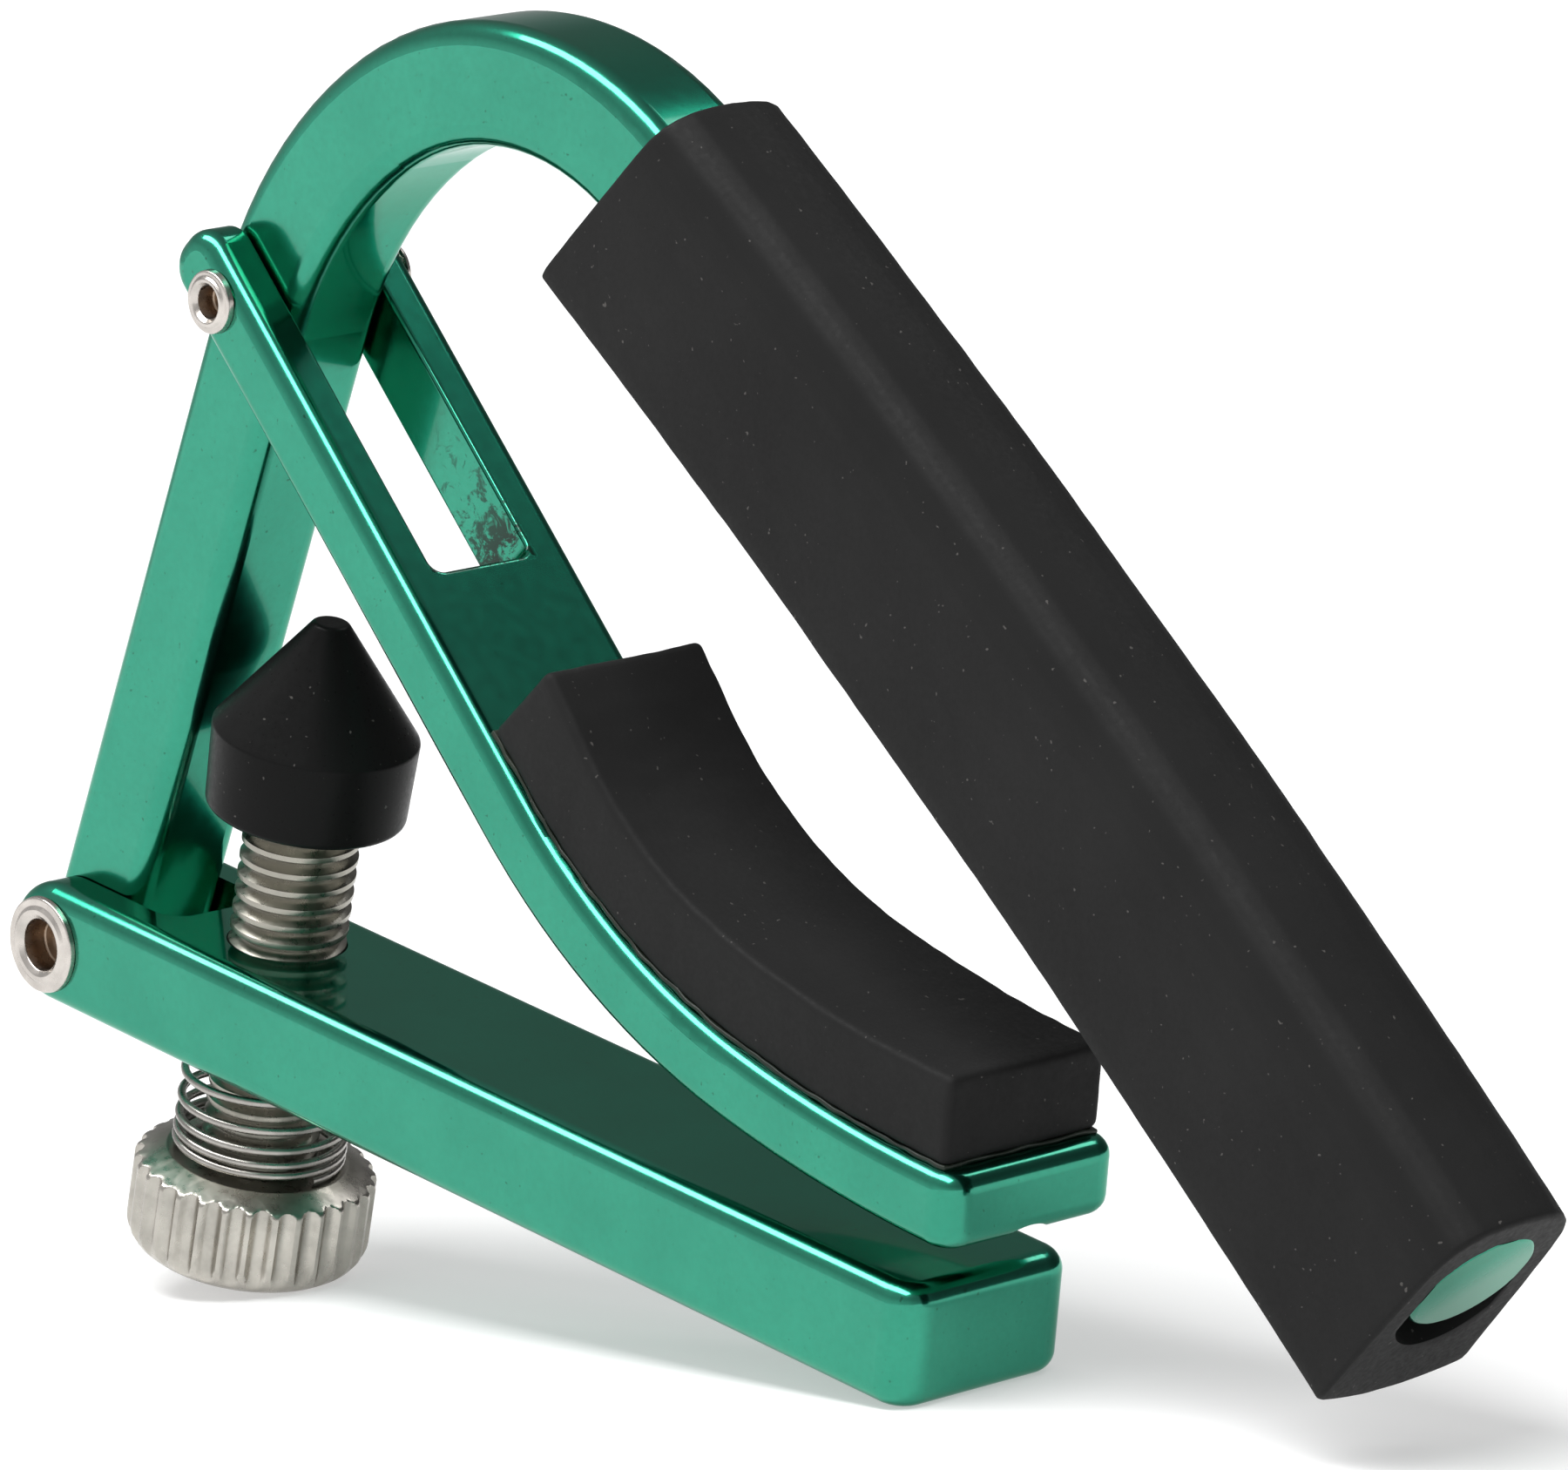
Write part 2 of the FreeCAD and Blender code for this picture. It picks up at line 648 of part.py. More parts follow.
def make_parts():
    return {
        "frame_bar": make_frame_bar(),
        "string_sleeve": make_string_sleeve(),
        "neck_arm": make_neck_arm(),
        "pad_adhesive": make_pad_adhesive(),
        "neck_pad": make_neck_pad(),
        "arm_rivet": make_pivot_rivet(ARM_RIVET, ARM_PIVOT, ARM_WIDTH),
        "locking_lever": make_locking_lever(),
        "lever_rivet": make_pivot_rivet(LEVER_RIVET, LEVER_PIVOT, LEVER_WIDTH),
        "thumbscrew": make_thumbscrew(),
        "pressure_tip": make_pressure_tip(),
        "screw_spring": make_screw_spring(),
    }


# ---- standing pose ----------------------------------------------------------------------

def standing_turn():
    """Angle of the line that touches the knob's rounded rim and the lever's tip."""
    rim = SCREW_FRAME.multVec(
        Vector(KNOB_RADIUS - KNOB_ROUND, 0, KNOB_TOP - KNOB_HEIGHT + KNOB_ROUND)
    )
    tip = Vector(LEVER_LENGTH - LEVER_CORNER, 0, LEVER_CORNER - LEVER_THICK / 2)
    gap = tip - rim
    slope = math.degrees(math.atan2(gap.z, gap.x))
    return slope + math.degrees(math.asin((KNOB_ROUND - LEVER_CORNER) / gap.Length))


def main():
    os.makedirs("parts", exist_ok=True)
    parts = make_parts()
    stand = Placement(Vector(0, 0, 0), Rotation(Vector(0, 1, 0), standing_turn()))
    for shape in parts.values():
        shape.Placement = stand.multiply(shape.Placement)
    box = Part.makeCompound(list(parts.values())).optimalBoundingBox(False, False)
    lift = Vector(-box.Center.x, -box.Center.y, -box.ZMin)
    for name, shape in parts.items():
        shape.translate(lift)
        solid = shape.Solids[0] if len(shape.Solids) == 1 else shape
        assert solid.isValid(), name
        solid.exportStep("parts/" + name + ".step")
        print(name, "volume", round(solid.Volume, 2), "solids", len(shape.Solids))
    stand.Base = lift
    axis = stand.Rotation.multVec(SCREW_FRAME.Rotation.multVec(Vector(0, 0, 1)))
    places = {
        "turn": standing_turn(),
        "lift": list(lift),
        "size": [box.XLength, box.YLength, box.ZLength],
        "lever_pivot": list(stand.multVec(solid_point(LEVER_PIVOT))),
        "arm_pivot": list(stand.multVec(solid_point(ARM_PIVOT))),
        "screw_foot": list(stand.multVec(SCREW_FRAME.Base)),
        "screw_axis": list(axis),
    }
    print("places", json.dumps(places))


main()
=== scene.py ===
"""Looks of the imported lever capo: detailed pieces, materials, studio and camera.

Profiles are laid out in millimetres in the XZ plane, with the lever pivot at (0, 0) and the
lever along +X.  A piece made about the thumbscrew has its own Z axis along the screw.  Both
are then placed in the frame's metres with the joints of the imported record.
"""

import bpy
import json
import math
import numpy as np
from functools import partial
from mathutils import Matrix, Vector, noise


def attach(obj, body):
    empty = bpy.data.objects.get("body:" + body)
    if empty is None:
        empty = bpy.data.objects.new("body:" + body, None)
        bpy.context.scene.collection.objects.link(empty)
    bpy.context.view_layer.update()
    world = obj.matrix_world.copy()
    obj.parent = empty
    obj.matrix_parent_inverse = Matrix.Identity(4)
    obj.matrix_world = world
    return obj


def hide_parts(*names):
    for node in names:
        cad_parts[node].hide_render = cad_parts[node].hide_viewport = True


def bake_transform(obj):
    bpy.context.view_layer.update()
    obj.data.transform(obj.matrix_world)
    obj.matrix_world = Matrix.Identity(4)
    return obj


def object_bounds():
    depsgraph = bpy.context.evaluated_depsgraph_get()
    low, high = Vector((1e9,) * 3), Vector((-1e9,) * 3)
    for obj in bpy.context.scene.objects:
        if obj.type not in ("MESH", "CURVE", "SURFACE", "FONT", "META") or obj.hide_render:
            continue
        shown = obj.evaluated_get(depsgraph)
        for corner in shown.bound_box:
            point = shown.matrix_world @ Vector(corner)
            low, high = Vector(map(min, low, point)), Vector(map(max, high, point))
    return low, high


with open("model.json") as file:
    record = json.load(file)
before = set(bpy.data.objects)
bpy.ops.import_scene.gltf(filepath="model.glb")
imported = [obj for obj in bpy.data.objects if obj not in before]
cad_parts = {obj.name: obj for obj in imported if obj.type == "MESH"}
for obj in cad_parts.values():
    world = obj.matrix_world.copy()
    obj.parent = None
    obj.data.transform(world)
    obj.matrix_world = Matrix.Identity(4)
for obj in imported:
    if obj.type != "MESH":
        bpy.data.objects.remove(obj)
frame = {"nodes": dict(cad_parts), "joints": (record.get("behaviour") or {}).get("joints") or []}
cad_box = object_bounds()
noise.seed_set(1)                       # without a seed it starts from the clock

MM = 0.001

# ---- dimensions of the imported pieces, in millimetres ------------------------------------

LEG_HEADING = 74.8
BEND_START = 31.0
BEND = ((19.3, 37.3), (14.3, 66.7))     # radius and turn of each arc
STRING_RADIUS = 520.0
STRING_LENGTH = 56.95
BAR_WIDTH = 5.0
BAR_NOSE_RADIUS = 2.8

SLEEVE_LENGTH = 56.8
SLEEVE_LIFT = 0.5
SLEEVE_LEAN = 0.75
SLEEVE_ENDS = (-37.0, -34.5)            # headings of the two end cuts
SLEEVE_RIM = 0.22
MOUTH_SLACK = 0.40                      # the bore's mouth is deeper than the bar by this

ARM_EAR = 3.1
ARM_HEADING = -40.0
ARM_STRAIGHT = 25.4
ARM_BEND = (31.9, 29.2)                 # radius, turn
ARM_TAIL_RADIUS = 68.0
ARM_LENGTH = 55.0
ARM_THICK = 3.2
ARM_WIDTH = 9.4
ARM_SLOT_WIDTH = 5.2
ARM_SLOT_END = 15.0
LEVER_WIDTH = 9.3
LEVER_THICK = 5.2

PAD_START = 22.6
PAD_END = 54.0
PAD_WIDTH = 8.4
PAD_TOP_START = 6.3
PAD_TOP = 5.4
PAD_LEVEL_AT = 37.0
GLUE_THICK = 0.12
GLUE_BEAD = 0.2

# rivets: shank, hollow, head radius, head height, depth of the hollow
LEVER_RIVET = (1.6, 1.15, 2.1, 0.38, 1.3)
ARM_RIVET = (1.1, 0.72, 1.35, 0.45, 1.0)

SCREW_AT = 10.1
SCREW_TILT = 5.5
THREAD_RADIUS = 2.5
THREAD_PITCH = 0.8
THREAD_DEPTH = 0.42
ROD_END = 12.4
ROD_CHAMFER = 0.5
KNOB_RADIUS = 5.2
KNOB_TOP = -7.85
KNOB_HEIGHT = 4.0
KNOB_SHOULDER = (3.9, 0.55)             # radius, height
KNOB_RECESS = (2.6, 0.25)               # radius, depth in the underside
KNOB_FOOT_ROUND = 1.3
FLUTES = 30
CAP_BASE = 8.65
CAP_SHOULDER = 12.3
CAP_TOP = 17.25
CAP_RADII = (4.25, 4.40, 0.75)          # at the base, the shoulder and the top
CAP_BORE = 2.56
SPRING_RADIUS = 3.55
SPRING_WIRE = 0.19
SPRING_TURNS = 5.0


# ---- layout ------------------------------------------------------------------------------

def joint(name):
    """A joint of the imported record, by name."""
    return next(j for j in frame["joints"] if j["name"] == name)


SCREW_AXIS = Vector(joint("tip_slide")["axis"]).normalized()
STANDING_TURN = math.atan2(SCREW_AXIS.x, SCREW_AXIS.z) - math.radians(SCREW_TILT)
LEVER_PIVOT = np.array(joint("lever_hinge")["pos_m"])
ARM_PIVOT = np.array(joint("arm_hinge")["pos_m"])


def turned_about_y(points, angle):
    """Points turned about Y, so that +Z leans towards +X."""
    c, s = math.cos(angle), math.sin(angle)
    return np.asarray(points, float) @ np.array([[c, 0, -s], [0, 1, 0], [s, 0, c]])


def from_layout(points):
    """Layout millimetres to the frame's metres."""
    return LEVER_PIVOT + MM * turned_about_y(points, STANDING_TURN)


def from_screw(points):
    """Millimetres about the screw's axis, from the lever's middle, to metres."""
    leaned = turned_about_y(points, math.radians(SCREW_TILT))
    return from_layout(leaned + np.array([SCREW_AT, 0, 0]))


def across(pivot):
    """A function that lays a solid made about Z along Y at a pivot, its top towards -Y."""
    def place(points):
        x, y, z = np.moveaxis(np.asarray(points, float), -1, 0)
        return pivot + MM * np.stack([x, -z, y], -1)
    return place


def unit(heading):
    return np.array([math.cos(heading), math.sin(heading)])


def left(heading):
    return np.array([-math.sin(heading), math.cos(heading)])


class Track:
    """A centreline of straight runs and tangent arcs in the layout plane."""

    def __init__(self, start, heading):
        self.point = np.array(start, float)
        self.heading = math.radians(heading)
        self.length = 0.0
        self.pieces = []

    def add(self, length, radius=None):
        """A straight run, or an arc; a positive radius turns left."""
        self.pieces.append((self.length, self.point, self.heading, radius))
        self.point, self.heading = self.along(len(self.pieces) - 1, length)
        self.length += length
        return self

    def along(self, index, distance):
        """The point and the heading at a distance past the start of one run or arc."""
        _, point, heading, radius = self.pieces[index]
        if radius is None:
            return point + unit(heading) * distance, heading
        turned = heading + distance / radius
        return point + radius * (left(heading) - left(turned)), turned

    def at(self, s, offset=0.0):
        """The point at length s, moved left by offset."""
        index = 0
        for k, piece in enumerate(self.pieces):
            if s >= piece[0]:
                index = k
        point, heading = self.along(index, s - self.pieces[index][0])
        return point + offset * left(heading)


FRAME_TRACK = Track((0, 0), LEG_HEADING).add(BEND_START)
for bend_radius, bend_turn in BEND:
    FRAME_TRACK.add(math.radians(bend_turn) * bend_radius, -bend_radius)
bar_heading = FRAME_TRACK.heading
sleeve_start = FRAME_TRACK.point + SLEEVE_LIFT * left(bar_heading)
SLEEVE_TRACK = Track(sleeve_start, math.degrees(bar_heading) - SLEEVE_LEAN)
SLEEVE_TRACK.add(STRING_LENGTH, -STRING_RADIUS)
FRAME_END = FRAME_TRACK.length + STRING_LENGTH
FRAME_TRACK.add(STRING_LENGTH + 10.0, -STRING_RADIUS)

pivot_offset = np.array([(ARM_PIVOT - LEVER_PIVOT) / MM])
arm_start = turned_about_y(pivot_offset, -STANDING_TURN)[0][[0, 2]]
ear = ARM_EAR * unit(math.radians(ARM_HEADING))
ARM_TRACK = Track(arm_start - ear, ARM_HEADING).add(ARM_EAR + ARM_STRAIGHT)
arm_bend_length = math.radians(ARM_BEND[1]) * ARM_BEND[0]
ARM_TRACK.add(arm_bend_length, ARM_BEND[0])
ARM_TRACK.add(ARM_LENGTH - ARM_STRAIGHT - arm_bend_length, ARM_TAIL_RADIUS)


def laid_along(track, points):
    """Layout points from (length along a track, y, height over it)."""
    placed = []
    for s, y, height in points:
        x, z = track.at(s, height)
        placed.append((x, y, z))
    return np.array(placed)


def on_track(track, s, height=0.0, y=0.0):
    """One point of a track in the frame's metres."""
    return from_layout(laid_along(track, [(s, y, height)]))[0]


# ---- mesh helpers ------------------------------------------------------------------------

def softened(corners, closed=False, steps=6):
    """A line through (a, b, radius) corners, each rounded by an arc of that radius."""
    count = len(corners)
    line = []
    for k in range(count):
        corner = np.array(corners[k][:2], float)
        radius = corners[k][2] if len(corners[k]) > 2 else 0.0
        if radius <= 0 or (not closed and k in (0, count - 1)):
            line.append(corner)
            continue
        before = np.array(corners[k - 1][:2], float) - corner
        after = np.array(corners[(k + 1) % count][:2], float) - corner
        before /= np.linalg.norm(before)
        after /= np.linalg.norm(after)
        half = math.acos(max(-1.0, min(1.0, before @ after))) / 2
        reach = radius / math.tan(half)
        middle = before + after
        middle *= radius / math.sin(half) / np.linalg.norm(middle)
        first = before * reach - middle
        last = after * reach - middle
        for step in range(steps + 1):
            t = step / steps
            spoke = (1 - t) * first + t * last
            spoke *= radius / np.linalg.norm(spoke)
            line.append(corner + middle + spoke)
    return np.array(line)


def resampled(line, spacing, closed=False):
    """The same line with extra points, so that none are further apart than spacing."""
    points = list(line) + ([line[0]] if closed else [])
    made = []
    for a, b in zip(points, points[1:]):
        a, b = np.asarray(a, float), np.asarray(b, float)
        cuts = max(1, math.ceil(np.linalg.norm(b - a) / spacing))
        made += [a + (b - a) * k / cuts for k in range(cuts)]
    if not closed:
        made.append(np.asarray(points[-1], float))
    return np.array(made)


def grid_faces(rows, columns, wrap_rows=False, wrap_columns=True, first=0):
    """Quads between neighbouring rows of a grid of vertices."""
    faces = []
    for r in range(rows if wrap_rows else rows - 1):
        low = first + r * columns
        high = first + (r + 1) % rows * columns
        for c in range(columns if wrap_columns else columns - 1):
            d = (c + 1) % columns
            faces.append((low + c, low + d, high + d, high + c))
    return faces


def piece(name, points, faces, material, sharp=40.0):
    """A smooth-shaded object from metre points, creased where faces meet at a wide angle."""
    mesh = bpy.data.meshes.new(name)
    mesh.from_pydata([tuple(p) for p in np.asarray(points).reshape(-1, 3)], [], faces)
    mesh.validate()
    mesh.polygons.foreach_set("use_smooth", [True] * len(mesh.polygons))
    mesh.set_sharp_from_angle(angle=math.radians(sharp))
    mesh.materials.append(material)
    made = bpy.data.objects.new(name, mesh)
    bpy.context.scene.collection.objects.link(made)
    return made


def lathe(profile, segments, shape=None):
    """Rings of a (radius, height) profile turned about Z; shape may change each radius."""
    angles = np.linspace(0, 2 * math.pi, segments, endpoint=False)
    radius = np.repeat(profile[:, :1], segments, 1)
    height = np.repeat(profile[:, 1:2], segments, 1)
    if shape is not None:
        radius = shape(radius, height, angles[None, :])
    return np.stack([radius * np.cos(angles), radius * np.sin(angles), height], -1)


def capped(rows, columns):
    """Grid faces with one face closing each end."""
    faces = grid_faces(rows, columns)
    faces.append(tuple(reversed(range(columns))))
    faces.append(tuple(range((rows - 1) * columns, rows * columns)))
    return faces


def rough(points, scale, amount, seed=0.0):
    """Points moved a little by smooth noise; scale and amount in millimetres."""
    offset = Vector((seed, 2 * seed, 3 * seed))
    flat = np.asarray(points, float).reshape(-1, 3)
    moved = [p + amount * np.array(noise.noise_vector(Vector(p) / scale + offset)) for p in flat]
    return np.array(moved).reshape(np.shape(points))


def belongs(made, body, node):
    """Puts a finished piece on its body in place of a CAD node."""
    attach(made, body)
    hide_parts(node)
    return made


# ---- materials ---------------------------------------------------------------------------

class Nodes:
    """One material's node tree; textures are placed by the piece's own coordinates."""

    def __init__(self, name):
        self.material = bpy.data.materials.new(name)
        self.material.use_nodes = True
        self.tree = self.material.node_tree
        self.shader = self.tree.nodes["Principled BSDF"]
        self.place = self.add("ShaderNodeTexCoord").outputs["Object"]

    def add(self, kind, settings=None, **inputs):
        """A new node; an underscore in an input's name stands for a space."""
        made = self.tree.nodes.new(kind)
        for key, value in (settings or {}).items():
            setattr(made, key, value)
        for key, value in inputs.items():
            self.put(made.inputs[key.replace("_", " ")], value)
        return made

    def put(self, socket, value):
        """Links an output to an input, or sets the input to a plain value."""
        if isinstance(value, bpy.types.NodeSocket):
            self.tree.links.new(value, socket)
        else:
            socket.default_value = value

    def noise(self, size, detail=2.0, roughness=0.5, distortion=0.0, place=None):
        """Smooth noise whose features are about size millimetres across, from 0 to 1."""
        made = self.add(
            "ShaderNodeTexNoise", Vector=place or self.place, Scale=1000 / size,
            Detail=detail, Roughness=roughness, Distortion=distortion,
        )
        return made.outputs["Fac"]

    def spread(self, value, low, high, to_low=0.0, to_high=1.0):
        """Maps low..high to to_low..to_high, clamped."""
        made = self.add("ShaderNodeMapRange", Value=value)
        for key, amount in zip(range(1, 5), (low, high, to_low, to_high)):
            made.inputs[key].default_value = amount
        return made.outputs["Result"]

    def mix(self, share, first, second):
        made = self.add("ShaderNodeMix", {"data_type": "RGBA"})
        self.put(made.inputs[0], share)
        self.put(made.inputs[6], first)
        self.put(made.inputs[7], second)
        return made.outputs[2]

    def math(self, operation, first, second=0.0):
        made = self.add("ShaderNodeMath", {"operation": operation})
        self.put(made.inputs[0], first)
        self.put(made.inputs[1], second)
        return made.outputs[0]

    def bump(self, height, distance, strength=1.0, normal=None):
        """A bump whose full height is distance millimetres."""
        made = self.add(
            "ShaderNodeBump", Height=height, Distance=distance * MM, Strength=strength
        )
        if normal is not None:
            self.put(made.inputs["Normal"], normal)
        return made.outputs["Normal"]

    def finish(self, **inputs):
        for key, value in inputs.items():
            self.put(self.shader.inputs[key.replace("_", " ")], value)
        return self.material


def rgb(red, green, blue):
    return (red, green, blue, 1.0)


def grey(value, warmth=0.0):
    return rgb(value * (1 + warmth), value, value * (1 - warmth))


GREENS = (rgb(0.016, 0.250, 0.158), rgb(0.021, 0.280, 0.178))
GREEN_MOTTLE = rgb(0.010, 0.200, 0.120)
GREEN_SPECK = rgb(0.003, 0.080, 0.042)
GREEN_SHEEN = rgb(0.30, 0.62, 0.52)
SLOT_STAIN = rgb(0.004, 0.030, 0.018)
# bare cut metal on the bar's end, partly painted reflection
CUT_METAL_AND_PAINTED_REFLECTION = rgb(0.30, 0.44, 0.36)
DUST = grey(0.12, 0.05)
GLUE_TONES = (rgb(0.006, 0.012, 0.008), rgb(0.020, 0.026, 0.018))
RIVET_TINT = rgb(0.62, 0.58, 0.54)
# painted shade: the dark brown put into the rivets' hollows
RIVET_HOLLOW_SHADE = rgb(0.26, 0.18, 0.12)
SCREW_TINT = rgb(0.50, 0.475, 0.43)
ROD_TINT = rgb(0.30, 0.29, 0.25)
SPRING_TINT = rgb(0.42, 0.40, 0.375)
STEEL_STAIN = 0.72                      # how bright a stained patch of steel is


def green_anodised(name, feature=None):
    """Green metal: a glossy dye coat over a finely mottled surface, with an optional feature."""
    m = Nodes(name)
    mottle = m.noise(0.30, 3.0, 0.65)
    cloud = m.noise(5.0, 2.0)
    colour = m.mix(m.spread(cloud, 0.35, 0.65), *GREENS)
    colour = m.mix(m.spread(mottle, 0.35, 0.75, 0.0, 0.35), colour, GREEN_MOTTLE)
    speck = m.spread(m.noise(0.22, 1.0, 0.4), 0.73, 0.80, 0.0, 0.7)
    colour = m.mix(speck, colour, GREEN_SPECK)
    gloss = m.spread(m.noise(0.6, 3.0), 0.3, 0.7, 0.165, 0.205)
    if feature is not None:
        share, tint, roughness = feature(m)
        colour = m.mix(share, colour, tint)
        gloss = m.mix(share, gloss, grey(roughness))
    peel = m.bump(m.noise(0.5, 2.0), 0.0010)
    grain = m.bump(m.noise(0.12, 2.0), 0.0007, normal=peel)
    return m.finish(
        Base_Color=colour, Metallic=1.0, Roughness=gloss, Normal=grain,
        Specular_Tint=GREEN_SHEEN, Coat_Weight=0.6, Coat_Roughness=0.05, Coat_IOR=1.5,
    )


def distance_along(m, start, end):
    """Distance from a start point towards an end point, both in metres."""
    way = (Vector(end) - Vector(start)).normalized()
    dot = m.add("ShaderNodeVectorMath", {"operation": "DOT_PRODUCT"})
    m.put(dot.inputs[0], m.place)
    m.put(dot.inputs[1], way)
    return m.math("SUBTRACT", dot.outputs["Value"], Vector(start).dot(way))


def slot_stains(m):
    """Dark blotches left on the walls of the arm's slot, towards its blind end."""
    split = m.add("ShaderNodeSeparateXYZ", Vector=m.place)
    beside = m.math("ABSOLUTE", split.outputs["Y"])
    edge = 0.5 * ARM_SLOT_WIDTH * MM
    wall = m.spread(beside, edge + 0.0001, edge + 0.0003, 1.0, 0.0)
    end = ARM_SLOT_END * MM
    along = distance_along(m, ARM_PIVOT, on_track(ARM_TRACK, ARM_EAR + ARM_SLOT_END))
    depth = m.spread(along, end - 0.0090, end - 0.0010)
    before = m.spread(along, end + 0.0001, end + 0.0003, 1.0, 0.0)
    blotch = m.noise(1.0, 4.0, 0.75, 0.6)
    patch = m.spread(m.math("ADD", blotch, m.math("MULTIPLY", depth, 0.12)), 0.58, 0.66)
    share = m.math("MULTIPLY", m.math("MULTIPLY", wall, before), m.math("MULTIPLY", patch, depth))
    return share, SLOT_STAIN, 0.55


def pale_end_with_painted_reflection(m):
    """The bar's cut end, paler and duller than its sides, most of all towards the strings: partly
    bare cut metal, partly painted reflection.
    """
    last = on_track(FRAME_TRACK, FRAME_END)
    before = on_track(FRAME_TRACK, FRAME_END - 1.0)
    upper_near = on_track(FRAME_TRACK, FRAME_END, 1.0, -1.0)
    along = distance_along(m, last, 2 * last - before)
    across_end = distance_along(m, last, upper_near)
    cut = m.spread(along, -0.0004, 0.0001)
    # painted reflection: the end fades paler towards the strings
    bare_and_painted_fade = m.spread(across_end, -0.0008, 0.0014, 1.0, 0.0)
    return m.math("MULTIPLY", cut, bare_and_painted_fade), CUT_METAL_AND_PAINTED_REFLECTION, 0.38


def black_rubber(name, dark, light, gloss, shine, grain=0.25, depth=0.006):
    """Dull black with cloudy tone, a fine skin and a few specks of dust."""
    m = Nodes(name)
    cloud = m.noise(9.0, 2.0)
    fine = m.noise(grain, 3.0, 0.6)
    colour = m.mix(m.spread(cloud, 0.3, 0.7), dark, light)
    dust = m.spread(m.noise(0.22, 1.0, 0.3), 0.765, 0.80, 0.0, 0.5)
    colour = m.mix(dust, colour, DUST)
    roughness = m.spread(fine, 0.3, 0.7, gloss - 0.06, gloss + 0.08)
    skin = m.bump(fine, depth)
    return m.finish(
        Base_Color=colour, Roughness=roughness, Normal=skin, Specular_IOR_Level=shine
    )


def steel(name, tint, gloss, feature=None):
    """Turned or drawn steel with faint stains, and an optional darker feature."""
    m = Nodes(name)
    cloud = m.noise(1.6, 3.0, 0.6)
    stained = rgb(*(STEEL_STAIN * c for c in tint[:3]))
    colour = m.mix(m.spread(cloud, 0.35, 0.7), tint, stained)
    roughness = m.spread(m.noise(0.5, 2.0), 0.3, 0.7, gloss, gloss + 0.14)
    if feature is not None:
        share, shade = feature(m)
        colour = m.mix(share, colour, shade)
    fine = m.bump(m.noise(0.15, 2.0), 0.002)
    return m.finish(Base_Color=colour, Metallic=1.0, Roughness=roughness, Normal=fine)


def painted_hollow_shade(m):
    """Painted brown shade in the rivets' hollows, which lie deeper than the faces at -Y."""
    split = m.add("ShaderNodeSeparateXYZ", Vector=m.place)
    inside = m.spread(split.outputs["Y"], -0.00485, -0.00440)
    near = m.spread(split.outputs["Y"], -0.0005, 0.0, 0.85, 0.0)
    return m.math("MULTIPLY", inside, near), RIVET_HOLLOW_SHADE


def darker_rod(m):
    """The threaded rod is darker than the knob."""
    foot = from_screw(np.array([[0.0, 0.0, KNOB_TOP + KNOB_SHOULDER[1] - 0.3]]))[0]
    along = distance_along(m, foot, Vector(foot) + SCREW_AXIS)
    return m.math("MULTIPLY", m.spread(along, 0.0, 0.0002), 0.75), ROD_TINT


BARS = {
    "frame_bar": green_anodised("green_frame", pale_end_with_painted_reflection),
    "neck_arm": green_anodised("green_arm", slot_stains),
    "locking_lever": green_anodised("green_lever"),
}
SLEEVE_RUBBER = black_rubber("sleeve_rubber", grey(0.010), grey(0.014), gloss=0.52, shine=0.11)
PAD_RUBBER = black_rubber("pad_rubber", grey(0.012), grey(0.017), gloss=0.58, shine=0.09)
CAP_PLASTIC = black_rubber(
    "cap_plastic", grey(0.006), grey(0.009), gloss=0.32, shine=0.06, grain=0.2, depth=0.002
)
GLUE = black_rubber("dried_glue", *GLUE_TONES, gloss=0.4, shine=0.3)
# the rivets carry painted shade in their hollows
RIVET_STEEL = steel("rivet_steel", RIVET_TINT, 0.20, painted_hollow_shade)
SCREW_STEEL = steel("screw_steel", SCREW_TINT, 0.24, darker_rod)
SPRING_STEEL = steel("spring_steel", SPRING_TINT, 0.22)

for node_name, green in BARS.items():
    shown = frame["nodes"][node_name].data
    shown.materials.clear()
    shown.materials.append(green)


# ---- string sleeve -----------------------------------------------------------------------

def sleeve_outline():
    """The sleeve's section as (y, height): bulging foot, leaning sides, rounded back."""
    right = [
        (0.0, -6.77), (1.0, -6.74), (2.0, -6.62), (3.0, -6.43), (3.72, -6.23),
        (3.93, -6.08), (3.94, -5.80), (3.87, -4.0), (3.80, -2.3), (3.70, -0.5),
        (3.55, 1.4), (3.38, 2.4), (3.08, 3.05), (2.60, 3.53), (2.0, 3.84), (1.0, 4.04),
        (0.0, 4.1),
    ]
    left = [(-y, h) for y, h in reversed(right[1:-1])]
    return resampled(right + left, 0.35, closed=True)


def ray_outline(outline, angles, centre):
    """Where rays from a centre leave a closed outline."""
    shifted = outline - centre
    bearing = np.unwrap(np.arctan2(shifted[:, 1], shifted[:, 0]))
    if bearing[-1] < bearing[0]:
        shifted, bearing = shifted[::-1], bearing[::-1]
    order = np.argsort(bearing % (2 * math.pi))
    bearing = (bearing % (2 * math.pi))[order]
    shifted = shifted[order]
    stacked = np.concatenate([bearing - 2 * math.pi, bearing, bearing + 2 * math.pi])
    triple = np.concatenate([shifted] * 3)
    wanted = angles % (2 * math.pi)
    y = np.interp(wanted, stacked, triple[:, 0])
    h = np.interp(wanted, stacked, triple[:, 1])
    return np.stack([y, h], -1) + centre


def end_cut(section, heading, anchor):
    """Length along the sleeve's track at which each section point meets a square cut."""
    normal = unit(math.radians(heading))
    lengths = []
    for _, height in section:
        low, high = -8.0, STRING_LENGTH + 8.0
        for _ in range(30):
            middle = (low + high) / 2
            beyond = (SLEEVE_TRACK.at(middle, height) - anchor) @ normal
            low, high = (low, middle) if beyond > 0 else (middle, high)
        lengths.append(middle)
    return np.array(lengths)


